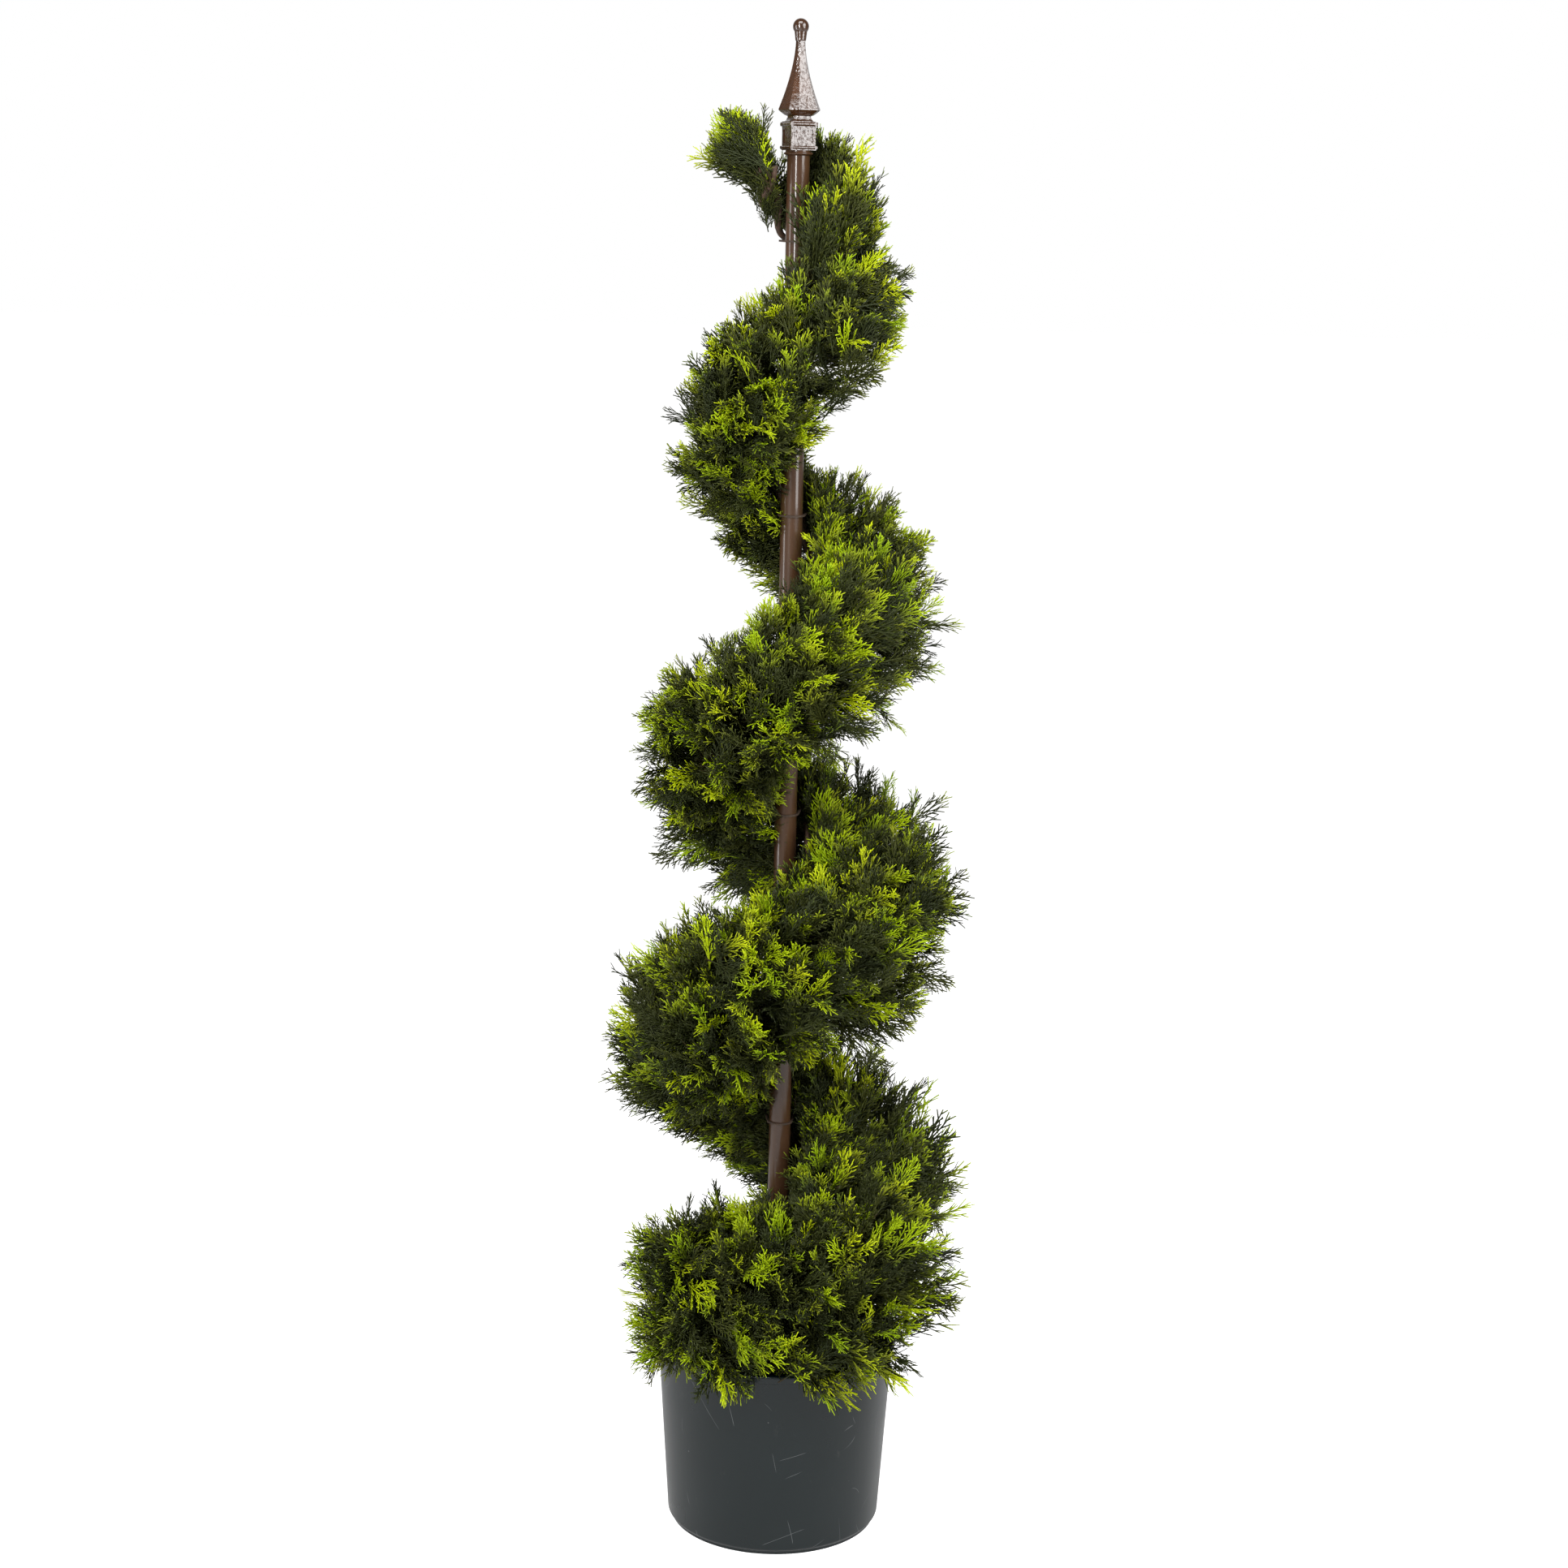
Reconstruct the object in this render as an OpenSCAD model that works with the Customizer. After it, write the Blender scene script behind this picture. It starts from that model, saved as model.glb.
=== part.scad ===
// Spiral topiary obelisk: an artificial cypress spiral that winds up a round metal
// pole with a cast spire finial, planted in a weighted nursery pot.
// Millimetres, +Z up. The origin is the centre of the pot's underside, the front is -Y.

/* [Pot] */
// Height of the nursery pot to the top of its rim
pot_h = 200; // [180:1:230]
// Outer radius of the wall just above the foot
pot_foot_r = 110; // [104:1:114]
// Outer radius of the wall just under the rim
pot_top_r = 122; // [118:1:126]
// Thickness of the moulded wall
pot_wall = 2; // [1.5:0.1:3]
// Height of the poured ballast above the pot's base
ballast_h = 84; // [60:1:95]

/* [Pole] */
// Outer diameter of the tube
pole_d = 22; // [20:0.5:24]
// Wall thickness of the tube
pole_wall = 1.2; // [1:0.1:2]
// Height of the tube's top end above the ground
pole_top = 1396; // [1390:1:1402]

/* [Finial] */
// Width of the square block across its flats
block_w = 25; // [23:0.5:27]
// Half width of the spire across its flats where it is widest
spire_half = 17.1; // [15:0.1:18]
// Diameter of the ball
ball_d = 15.4; // [13:0.1:17]
// How far the block is turned about the pole
block_turn = 21; // [0:1:90]
// How far the spire is turned about the pole
spire_turn = 30; // [0:1:90]

/* [Spiral] */
// Diameter of the steel wire that carries the spiral
wire_d = 6; // [5:0.5:6.5]
// Diameter of one vine strand twisted round the wire
vine_d = 6.8; // [5:0.2:7]
// Number of cypress bunches along the spiral
bunches = 34; // [30:1:34]
// Wall of the sleeve that stands for one bunch
bunch_wall = 1.5; // [1.2:0.1:3]

/* [Hidden] */
$fn = 64;
fit = 0.06; // radial running clearance of the finial's spigot in the tube
gap = 0.4; // clearance between pieces that only lie beside each other

// pot
foot_h = 3;
base_top = 5.5;
corner_h = 8;
rim_h = 8;
rim_out = 3;
drain_r = 5;
drain_count = 6;
drain_ring = 80;

// filling, from the bottom up
ballast_top = base_top + ballast_h;
foam_top = 150;
moss_top = 165;

// pole and its anchor
pole_r = pole_d / 2;
pole_in = pole_r - pole_wall;
pole_foot = 15;
pin_r = 3;
pin_len = 64;
pin_z = 38;

// finial heights, from the tube's top end up
collar_h = 5;
collar_r = 14.2;
seat_gap = 0.02; // film of clearance under the block, which rests on the collar
block_z = pole_top + collar_h + seat_gap;
block_h = 30.5;
spire_z = block_z + block_h;
spire_wide_z = spire_z + 8;
spire_top_z = 1503;
spire_tip_half = 3.8;
spire_neck_half = 9.6;
ball_z = 1524 - ball_d / 2;
spigot_h = 32;
stud_r = 2.5;
washer_h = 1.5;
nut_h = 4;
stud_bottom = pole_top - spigot_h - washer_h - nut_h - 3.5;

// the spiral: turns are counted from its lowest crossing in front of the pole
first_turn = -0.45;
last_turn = 3.8;
heights = [[-0.55, 192], [0, 255], [1, 600], [2, 900], [3, 1200], [3.8, 1384]];
core_radii = [[-0.55, 44], [3.8, 31]];
// how far out the bunches reach, how far they spread up and down, and how far they are
// lifted above the core, each by the turn
reach = [[-0.5, 164], [-0.2, 180], [0.25, 194], [0.75, 185], [1.25, 188], [1.75, 164],
         [2.25, 174], [2.75, 128], [3.25, 118], [3.8, 84]];
depths = [[-0.5, 66], [0.25, 98], [1, 104], [2.5, 100], [3, 96], [3.25, 104], [3.5, 80],
          [3.8, 40]];
lifts = [[2.9, 0], [3.25, 28], [3.5, 40], [3.8, 22]];
wire_r = wire_d / 2;
vine_r = vine_d / 2;
vine_offset = wire_r + vine_r + 1;
vine_twist = 3.3; // twists of the strands in one turn of the spiral
rings_per_turn = 32;
wire_sink = 60; // height of the wire's lower end, inside the ballast
tie_turns = [0.5, 1.5, 2.5, 3.5];
tie_r = 0.9;
core_gap = 9; // clearance of the bunches from the vine strands, where the ties pass
rim_gap = 3; // clearance of the lowest bunches above the pot's rim
bunch_gap = 0.004; // space between two bunches, as a part of a turn
// outline of a bunch: part of its reach outwards, part of its depth upwards
fan = [[0, -0.3], [0.3, -0.78], [0.7, -1], [0.95, -0.6], [1, 0], [0.95, 0.6], [0.7, 1],
       [0.3, 0.78], [0, 0.3]];
fan_steps = 3;

function bunch_name(i) = str("cypress_bunch_", i < 9 ? "0" : "", i + 1);

// ---- the pot and what fills it ----

function pot_r(z) = pot_foot_r + (z - corner_h) * (pot_top_r - pot_foot_r) / (pot_h - rim_h - corner_h);

// quarter-round points from angle a to b
function arc(cx, cz, r, a, b, n = 6) =
    [for (i = [0 : n]) let (t = a + (b - a) * i / n) [cx + r * cos(t), cz + r * sin(t)]];

module nursery_pot() color([0.13, 0.16, 0.17]) difference() {
    rotate_extrude($fn = 128) polygon(concat(
        [[0, foot_h], [pot_foot_r - 9, foot_h], [pot_foot_r - 8, 0], [pot_foot_r - 4, 0],
         [pot_foot_r - 3.6, foot_h - 0.5]],
        arc(pot_foot_r - 4.5, corner_h, 4.5, -70, 0),
        [[pot_top_r, pot_h - rim_h]],
        arc(pot_top_r + rim_out - 1.5, pot_h - rim_h + 1.5, 1.5, -90, 0, 3),
        arc(pot_top_r + rim_out - 2, pot_h - 2, 2, 0, 90, 4),
        [[pot_top_r - pot_wall + 0.5, pot_h], [pot_top_r - pot_wall, pot_h - 1],
         [pot_r(corner_h + 4) - pot_wall, corner_h + 4]],
        arc(pot_r(corner_h + 4) - pot_wall - 6, base_top + 6, 6, 0, -90),
        [[0, base_top]]));
    for (i = [1 : drain_count])
        rotate(i * 360 / drain_count) translate([drain_ring, 0, -1]) cylinder(r = drain_r, h = 20);
}

// a round layer of filling between two heights, clear of the pot's wall
module layer(z0, z1, chamfer = 0) rotate_extrude($fn = 96) polygon([
    [0, z0], [pot_r(z0) - pot_wall - gap - chamfer, z0],
    [pot_r(z0 + chamfer) - pot_wall - gap, z0 + chamfer],
    [pot_r(z1) - pot_wall - gap, z1], [0, z1]]);

// where the spiral's wire goes down into the filling
module at_wire_foot() translate([core_radius(first_turn) * cos(turn_angle(first_turn)),
                                 core_radius(first_turn) * sin(turn_angle(first_turn)), 0])
    children();

module ballast_block() color([0.62, 0.6, 0.56]) difference() {
    layer(base_top, ballast_top, 7);
    translate([0, 0, pole_foot]) cylinder(r = pole_r + 0.05, h = ballast_top);
    at_wire_foot() translate([0, 0, wire_sink - 2]) cylinder(r = wire_r + 0.1, h = ballast_top);
    translate([0, 0, pin_z]) rotate([0, 90, 0])
        cylinder(r = pin_r + 0.05, h = pin_len + 1, center = true);
}

module foam_disc() color([0.3, 0.42, 0.25]) difference() {
    layer(ballast_top, foam_top, 1);
    translate([0, 0, ballast_top - 1]) cylinder(r = pole_r + gap, h = foam_top);
    at_wire_foot() translate([0, 0, ballast_top - 1]) cylinder(r = wire_r + gap, h = foam_top);
}

module moss_cover() color([0.24, 0.2, 0.11]) difference() {
    layer(foam_top, moss_top, 2);
    translate([0, 0, foam_top - 1]) cylinder(r = pole_r + gap, h = 40);
    at_wire_foot() translate([0, 0, foam_top - 1]) cylinder(r = wire_r + 2, h = 40);
}

// ---- the pole ----

module pole_tube() color([0.22, 0.15, 0.11]) difference() {
    translate([0, 0, pole_foot]) cylinder(r = pole_r, h = pole_top - pole_foot);
    translate([0, 0, pole_foot - 1]) cylinder(r = pole_in, h = pole_top);
    translate([0, 0, pin_z]) rotate([0, 90, 0])
        cylinder(r = pin_r + 0.05, h = pole_d + 2, center = true);
}

module anchor_pin() color([0.6, 0.6, 0.62])
    translate([0, 0, pin_z]) rotate([0, 90, 0]) cylinder(r = pin_r, h = pin_len, center = true);

// ---- the finial ----

// the ring of two beads that covers the tube's end
module finial_collar() color([0.22, 0.15, 0.11]) difference() {
    rotate_extrude($fn = 96) polygon(concat(
        [[5, pole_top], [pole_r + 0.8, pole_top]],
        arc(collar_r - 1.1, pole_top + 2, 1.1, -90, 90, 6),
        [[pole_r + 1.6, pole_top + collar_h - 1.4], [pole_r + 1.6, pole_top + collar_h],
         [5, pole_top + collar_h]]));
    translate([0, 0, pole_top - 1]) cylinder(r = pole_in - fit + 0.1, h = 20);
}

module finial_spigot() color([0.55, 0.55, 0.57]) difference() {
    translate([0, 0, pole_top - spigot_h]) cylinder(r = pole_in - fit, h = spigot_h + collar_h);
    translate([0, 0, pole_top - spigot_h - 1]) cylinder(r = stud_r + 0.1, h = spigot_h + 20);
}

module finial_stud() color([0.7, 0.7, 0.72])
    translate([0, 0, stud_bottom]) cylinder(r = stud_r, h = ball_z - 2 - stud_bottom);

module finial_washer() color([0.7, 0.7, 0.72]) difference() {
    translate([0, 0, pole_top - spigot_h - washer_h]) cylinder(r = 7, h = washer_h);
    translate([0, 0, pole_top - spigot_h - washer_h - 1]) cylinder(r = stud_r + 0.2, h = 9);
}

module finial_nut() color([0.7, 0.7, 0.72]) difference() {
    translate([0, 0, pole_top - spigot_h - washer_h - nut_h])
        cylinder(r = 4.6, h = nut_h, $fn = 6);
    translate([0, 0, pole_top - spigot_h - washer_h - nut_h - 1])
        cylinder(r = stud_r + 0.05, h = 9);
}

// a square prism with its lower and upper half widths, as one straight stage of a moulding
module stage(half, z, h) translate([-half, -half, z]) cube([2 * half, 2 * half, h]);

// a square moulding with a rounded edge, made of crossed bars
module square_bead(half, r, z) for (a = [0 : 90 : 270]) rotate(a)
    intersection() {
        translate([0, half - r, z + r]) rotate([0, 90, 0]) cylinder(r = r, h = 2 * half, center = true);
        stage(half, z - 1, 2 * r + 2);
    }

module finial_block() color([0.25, 0.17, 0.13]) rotate(block_turn) difference() {
    union() {
        // bottom moulding, die, bead and the hollow-sided cap
        stage(block_w / 2 + 0.4, block_z, 1.2);
        square_bead(block_w / 2 + 1.5, 1.5, block_z + 1);
        stage(block_w / 2, block_z + 1, 2.8);
        stage(block_w / 2, block_z + 3.8, 18.2);
        stage(block_w / 2 + 0.2, block_z + 21, 6);
        square_bead(block_w / 2 + 1.6, 1.9, block_z + 22.4);
        intersection_for (a = [0, 90]) rotate(a) rotate([90, 0, 0])
            linear_extrude(2 * block_w, center = true) polygon(concat(
                [[-block_w / 2 - 0.6, block_z + 26]],
                arc(-block_w / 2 - 0.6, block_z + block_h, 4, -80, 0),
                arc(block_w / 2 + 0.6, block_z + block_h, 4, 180, 260),
                [[block_w / 2 + 0.6, block_z + 26]]));
    }
    // sunk panels on the four faces
    for (a = [0 : 90 : 270]) rotate(a)
        translate([-block_w / 2 + 3, block_w / 2 - 0.8, block_z + 6.6])
            cube([block_w - 6, 5, 12.6]);
    translate([0, 0, block_z - 1]) cylinder(r = stud_r + 0.1, h = block_h + 5);
}

// half width of the spire at height z: a hollow flare from its neck to its widest level
function spire_a(z) = spire_tip_half
    + (spire_half - spire_tip_half) * pow((spire_top_z - z) / (spire_top_z - spire_wide_z), 1.65);

spire_levels = concat(
    [[spire_z, spire_neck_half], [spire_z + 1.4, spire_neck_half],
     [spire_z + 2.4, spire_half * 0.7], [spire_z + 5.2, spire_half * 0.9],
     [spire_wide_z - 1, spire_half]],
    [for (i = [0 : 12]) let (z = spire_wide_z + (spire_top_z - spire_wide_z) * i / 12)
        [z, spire_a(z)]]);

// the eight corners of a square with cut corners
function cut_square(a, z) = let (k = 0.4 * a) [
    [a, -a + k, z], [a, a - k, z], [a - k, a, z], [-a + k, a, z],
    [-a, a - k, z], [-a, -a + k, z], [-a + k, -a, z], [a - k, -a, z]];

// a closed skin over rings of equal count; the first and last ring are capped
module skin(rings) {
    n = len(rings[0]);
    m = len(rings);
    polyhedron(
        points = [for (r = rings) for (p = r) p],
        faces = concat(
            [[for (i = [n - 1 : -1 : 0]) i]],
            [for (k = [0 : m - 2]) for (i = [0 : n - 1]) let (j = (i + 1) % n)
                [k * n + i, k * n + j, (k + 1) * n + j]],
            [for (k = [0 : m - 2]) for (i = [0 : n - 1]) let (j = (i + 1) % n)
                [k * n + i, (k + 1) * n + j, (k + 1) * n + i]],
            [[for (i = [0 : n - 1]) (m - 1) * n + i]]),
        convexity = 6);
}

module finial_spire() color([0.25, 0.17, 0.13]) difference() {
    rotate(spire_turn) skin([for (l = spire_levels) cut_square(l[1], l[0])]);
    translate([0, 0, spire_z - 1]) cylinder(r = stud_r + 0.1, h = 90);
}

module finial_ball() color([0.25, 0.17, 0.13]) difference() {
    rotate_extrude($fn = 96) polygon(concat(
        [[0, spire_top_z], [4.9, spire_top_z], [5.2, spire_top_z + 1]],
        arc(0, ball_z, ball_d / 2, -38, 90, 16)));
    translate([0, 0, spire_top_z - 1]) cylinder(r = stud_r + 0.05, h = ball_z - 1.5 - spire_top_z + 1);
}

// ---- the spiral ----

function turn_angle(u) = 360 * u - 90;
function core_z(u) = lookup(u, heights);
function core_radius(u) = lookup(u, core_radii);
function core_point(u) =
    [core_radius(u) * cos(turn_angle(u)), core_radius(u) * sin(turn_angle(u)), core_z(u)];
function unit(v) = v / norm(v);

turn_count = floor((last_turn - first_turn) * rings_per_turn);
core_turns = [for (i = [0 : turn_count]) first_turn + (last_turn - first_turn) * i / turn_count];
// direction of the spiral, and the two directions across it
function along(u) = unit(core_point(u + 0.01) - core_point(u - 0.01));
function outward(u) = [cos(turn_angle(u)), sin(turn_angle(u)), 0];
function across(u) = cross(along(u), outward(u));

// a round section at a point, with unit directions n and b across it
function round_section(p, n, b, r, sides) =
    [for (i = [0 : sides - 1]) p + r * (n * cos(360 * i / sides) + b * sin(360 * i / sides))];

// the wire stands upright in the filling, then follows the spiral
module spiral_wire() color([0.3, 0.24, 0.16]) {
    foot = core_point(first_turn);
    n = outward(first_turn);
    b = cross([0, 0, 1], n);
    skin(concat(
        [for (z = [wire_sink, moss_top, foot[2] - 8])
            round_section([foot[0], foot[1], z], n, b, wire_r, 8)],
        [for (u = core_turns) if (u > first_turn)
            round_section(core_point(u), outward(u), across(u), wire_r, 8)]));
}

// a strand winds round the wire
function vine_point(u, phase) = let (t = 360 * vine_twist * u + phase)
    core_point(u) + vine_offset * (outward(u) * cos(t) + across(u) * sin(t));

module vine_strand(phase) color([0.33, 0.22, 0.13])
    skin([for (u = core_turns) if (u > first_turn)
        let (t = unit(vine_point(u + 0.01, phase) - vine_point(u - 0.01, phase)),
             n = unit(cross([0, 0, 1], t)))
        round_section(vine_point(u, phase), n, cross(t, n), vine_r, 6)]);
module vine_strand_1() vine_strand(0);
module vine_strand_2() vine_strand(180);

// loops of binding wire that hold the spiral to the pole
module tie_loop(u) {
    core_r = core_radius(u);
    wide = vine_offset + vine_r + 5;
    rotate(turn_angle(u)) translate([0, 0, core_z(u) - tie_r]) linear_extrude(2 * tie_r)
        difference() {
            hull() {
                circle(r = pole_r + 0.3 + 2 * tie_r, $fn = 24);
                translate([core_r, 0]) circle(r = wide + 2 * tie_r, $fn = 24);
            }
            hull() {
                circle(r = pole_r + 0.3, $fn = 24);
                translate([core_r, 0]) circle(r = wide, $fn = 24);
            }
        }
}
module tie_wires() color([0.35, 0.36, 0.3]) for (u = tie_turns) tie_loop(u);

// ---- the foliage ----

// inner radius of the bunches: they start just outside the core and its ties
function bunch_in(u) = core_radius(u) + vine_offset + vine_r + core_gap;

// lowest height of a bunch where it hangs over the pot's rim: a shallow valley, so that no
// two corners of its section share one height
function over_rim(p, wall) = pot_h + rim_gap + wall + 0.4 * abs(p[0] - 0.5);

// one section of a bunch: its outline drawn in about its middle by the wall's thickness
function fan_section(u, wall) = let (
        r0 = bunch_in(u), r1 = lookup(u, reach), d = lookup(u, depths), a = turn_angle(u),
        mid = core_z(u) + lookup(u, lifts),
        narrower = 1 - 2 * wall / (r1 - r0), flatter = 1 - wall / d)
    [for (p = fan) let (r = r0 + (r1 - r0) * (0.5 + (p[0] - 0.5) * narrower),
                        z = max(mid + d * p[1] * flatter, over_rim(p, wall)))
        [r * cos(a), r * sin(a), z]];

// an open-ended sleeve from the outer sections and the inner ones
module sleeve(outer, inner) {
    n = len(outer[0]);
    m = len(outer);
    bore = m * n; // index of the inner skin's first point
    last = (m - 1) * n;
    polyhedron(
        points = concat([for (r = outer) for (p = r) p], [for (r = inner) for (p = r) p]),
        faces = concat(
            [for (k = [0 : m - 2]) for (i = [0 : n - 1]) let (j = (i + 1) % n, a = k * n, b = a + n)
                each [[a + i, b + j, a + j], [a + i, b + i, b + j]]],
            [for (k = [0 : m - 2]) for (i = [0 : n - 1])
                let (j = (i + 1) % n, a = bore + k * n, b = a + n)
                each [[a + i, a + j, b + j], [a + i, b + j, b + i]]],
            [for (i = [0 : n - 1]) let (j = (i + 1) % n)
                each [[i, j, bore + j], [i, bore + j, bore + i]]],
            [for (i = [0 : n - 1]) let (j = (i + 1) % n, a = last, b = bore + last)
                each [[a + i, b + j, a + j], [a + i, b + i, b + j]]]),
        convexity = 8);
}

module cypress_bunch(i) {
    span = (last_turn - first_turn) / bunches;
    start = first_turn + span * i + bunch_gap / 2;
    stop = first_turn + span * (i + 1) - bunch_gap / 2;
    turns = [for (k = [0 : fan_steps]) start + (stop - start) * k / fan_steps];
    color([0.16, 0.3 + 0.06 * (i % 3), 0.1])
        sleeve([for (u = turns) fan_section(u, 0)], [for (u = turns) fan_section(u, bunch_wall)]);
}

// ---- the nodes ----

nursery_pot();
ballast_block();
foam_disc();
moss_cover();
pole_tube();
anchor_pin();
finial_collar();
finial_spigot();
finial_stud();
finial_washer();
finial_nut();
finial_block();
finial_spire();
finial_ball();
spiral_wire();
vine_strand_1();
vine_strand_2();
tie_wires();
for (i = [0 : bunches - 1])
    cypress_bunch(i);
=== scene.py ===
"""Looks of the spiral topiary obelisk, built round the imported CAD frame.

Everything is in metres in the frame's own axes: +Z up the pole, -Y towards the front.
"""
import math

import bpy
import numpy as np
from mathutils import Matrix, Vector


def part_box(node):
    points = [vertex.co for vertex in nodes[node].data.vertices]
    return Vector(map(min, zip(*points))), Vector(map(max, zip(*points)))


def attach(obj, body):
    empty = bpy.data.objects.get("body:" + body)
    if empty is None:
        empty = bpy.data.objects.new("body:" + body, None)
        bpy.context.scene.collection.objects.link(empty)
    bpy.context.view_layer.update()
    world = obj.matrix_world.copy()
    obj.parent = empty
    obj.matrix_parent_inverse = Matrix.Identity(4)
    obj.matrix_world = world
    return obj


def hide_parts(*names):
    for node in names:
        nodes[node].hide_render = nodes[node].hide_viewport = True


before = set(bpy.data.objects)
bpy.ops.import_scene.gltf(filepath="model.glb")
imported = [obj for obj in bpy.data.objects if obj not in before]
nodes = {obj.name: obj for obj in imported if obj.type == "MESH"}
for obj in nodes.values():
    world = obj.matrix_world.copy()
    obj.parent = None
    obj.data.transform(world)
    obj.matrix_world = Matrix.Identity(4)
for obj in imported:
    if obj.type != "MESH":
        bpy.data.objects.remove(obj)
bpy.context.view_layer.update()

POT_LOW, POT_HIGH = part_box("nursery_pot")
POLE_LOW, POLE_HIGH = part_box("pole_tube")
SPIRE_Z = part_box("finial_spire")[0].z
MOSS_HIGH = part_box("moss_cover")[1]
MOSS_R, MOSS_Z = MOSS_HIGH.x, MOSS_HIGH.z
POLE_R = (POLE_HIGH.x - POLE_LOW.x) / 2
POLE_TOP = POLE_HIGH.z
RIM_R = (POT_HIGH.x - POT_LOW.x) / 2
RIM_Z = POT_HIGH.z
BODY = "topiary"      # the body that every piece made here rides on


# ---------------------------------------------------------------- materials

class Shader:
    """A material's node tree, with short calls for the nodes that the materials here use.
    A value can be a number, a colour or another node's output."""

    def __init__(self, name):
        self.material = bpy.data.materials.new(name)
        self.material.use_nodes = True
        self.tree = self.material.node_tree
        self.main = self.tree.nodes["Principled BSDF"]

    def node(self, kind, **inputs):
        """Adds a node; the keywords are its inputs, with _ for a space."""
        n = self.tree.nodes.new("ShaderNode" + kind)
        for key, value in inputs.items():
            self.put(n, key.replace("_", " "), value)
        return n

    def put(self, n, key, value):
        """Sets or links one input of a node, by its name or its number."""
        socket = n.inputs[int(key)] if key.isdigit() else n.inputs[key]
        if isinstance(value, bpy.types.NodeSocket):
            self.tree.links.new(value, socket)
        else:
            socket.default_value = value

    def set(self, **inputs):
        """Sets or links inputs of the main shader."""
        for key, value in inputs.items():
            self.put(self.main, key.replace("_", " "), value)

    def place(self, scale=(1, 1, 1)):
        """Object coordinates, scaled along the axes."""
        m = self.node("Mapping", Scale=scale)
        self.tree.links.new(self.node("TexCoord").outputs["Object"], m.inputs["Vector"])
        return m.outputs["Vector"]

    def noise(self, scale, detail=3.0, stretch=(1, 1, 1), rough=0.5):
        """Cloudy noise from 0 to 1. A stretch below 1 makes it longer along that axis."""
        n = self.node("TexNoise", Scale=scale, Detail=detail, Roughness=rough,
                      Vector=self.place(stretch))
        return n.outputs["Fac"]

    def ramp(self, value, *stops):
        """Colours from a value: each stop is (value, colour)."""
        n = self.node("ValToRGB", Fac=value)
        elements = n.color_ramp.elements
        while len(elements) > len(stops):
            elements.remove(elements[-1])
        while len(elements) < len(stops):
            elements.new(1.0)
        for e, (at, colour) in zip(elements, stops):
            e.position = at
            e.color = (*colour, 1)
        return n.outputs["Color"]

    def spread(self, value, low, high, to_low=0.0, to_high=1.0):
        """Maps a value from low..high to to_low..to_high, and holds it in that range."""
        n = self.node("MapRange", Value=value)
        for key, v in (("From Min", low), ("From Max", high),
                       ("To Min", to_low), ("To Max", to_high)):
            self.put(n, key, v)
        return n.outputs["Result"]

    def maths(self, operation, a, b=0.0):
        n = self.node("Math")
        n.operation = operation
        self.put(n, "0", a)
        self.put(n, "1", b)
        return n.outputs["Value"]

    def mix(self, fac, a, b, how="MIX"):
        n = self.node("MixRGB", Fac=fac)
        n.blend_type = how
        self.put(n, "Color1", a if isinstance(a, bpy.types.NodeSocket) else (*a, 1))
        self.put(n, "Color2", b if isinstance(b, bpy.types.NodeSocket) else (*b, 1))
        return n.outputs["Color"]

    def bump(self, height, distance, strength=1.0, below=None):
        """A surface raised by a height of 0 to 1 times a distance in metres, over another bump."""
        n = self.node("Bump", Height=height, Distance=distance, Strength=strength)
        if below is not None:
            self.put(n, "Normal", below)
        return n.outputs["Normal"]


def scratch_lines(s, turn, size):
    """Thin straight scratches at a slant, where a cloudy noise allows them: where a stretched
    noise passes through its middle value, it draws a hair line."""
    tilted = s.node("Mapping", Rotation=(0.15, turn, 0),
                    Vector=s.node("TexCoord").outputs["Object"])
    stretched = s.node("Mapping", Scale=(1, 1, 0.07), Vector=tilted.outputs["Vector"])
    wave = s.node("TexNoise", Scale=size, Detail=0.0, Roughness=0.4,
                  Vector=stretched.outputs["Vector"])
    off_middle = s.maths("ABSOLUTE", s.maths("SUBTRACT", wave.outputs["Fac"], 0.5))
    line = s.spread(off_middle, 0.0, 0.0018, 1.0, 0.0)
    return s.maths("MULTIPLY", line, s.spread(s.noise(11 + size, 0), 0.62, 0.69))


def pot_plastic():
    """Blue-black moulded plastic with fine scratches, dust and a satin skin."""
    s = Shader("pot_plastic")
    cloud = s.noise(14, 4)
    colour = s.ramp(cloud, (0.3, (0.0008, 0.0042, 0.0050)), (0.7, (0.0018, 0.0058, 0.0068)))
    dust = s.spread(s.noise(45, 6, (1, 1, 0.5), 0.7), 0.62, 0.85)
    colour = s.mix(s.maths("MULTIPLY", dust, 0.25), colour, (0.09, 0.085, 0.075))
    scratches = s.maths("MAXIMUM", scratch_lines(s, 0.45, 22), scratch_lines(s, -1.25, 17))
    colour = s.mix(s.maths("MULTIPLY", scratches, 0.7), colour, (0.19, 0.195, 0.2))
    specks = s.node("TexVoronoi", Scale=95.0, Vector=s.place())
    speck = s.spread(specks.outputs["Distance"], 0.05, 0.09, 1.0, 0.0)
    chosen = s.spread(s.noise(60, 1), 0.66, 0.69)
    colour = s.mix(s.maths("MULTIPLY", s.maths("MULTIPLY", speck, chosen), 0.5), colour,
                   (0.2, 0.2, 0.2))
    grain = s.bump(s.noise(900, 2), 0.00004)
    flow = s.bump(s.noise(10, 2, (1, 1, 0.4)), 0.0012, 0.35, grain)
    s.set(Base_Color=colour, Roughness=s.spread(cloud, 0.3, 0.7, 0.26, 0.34), Normal=flow)
    s.put(s.main, "Specular IOR Level", 0.4)
    return s.material


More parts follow.
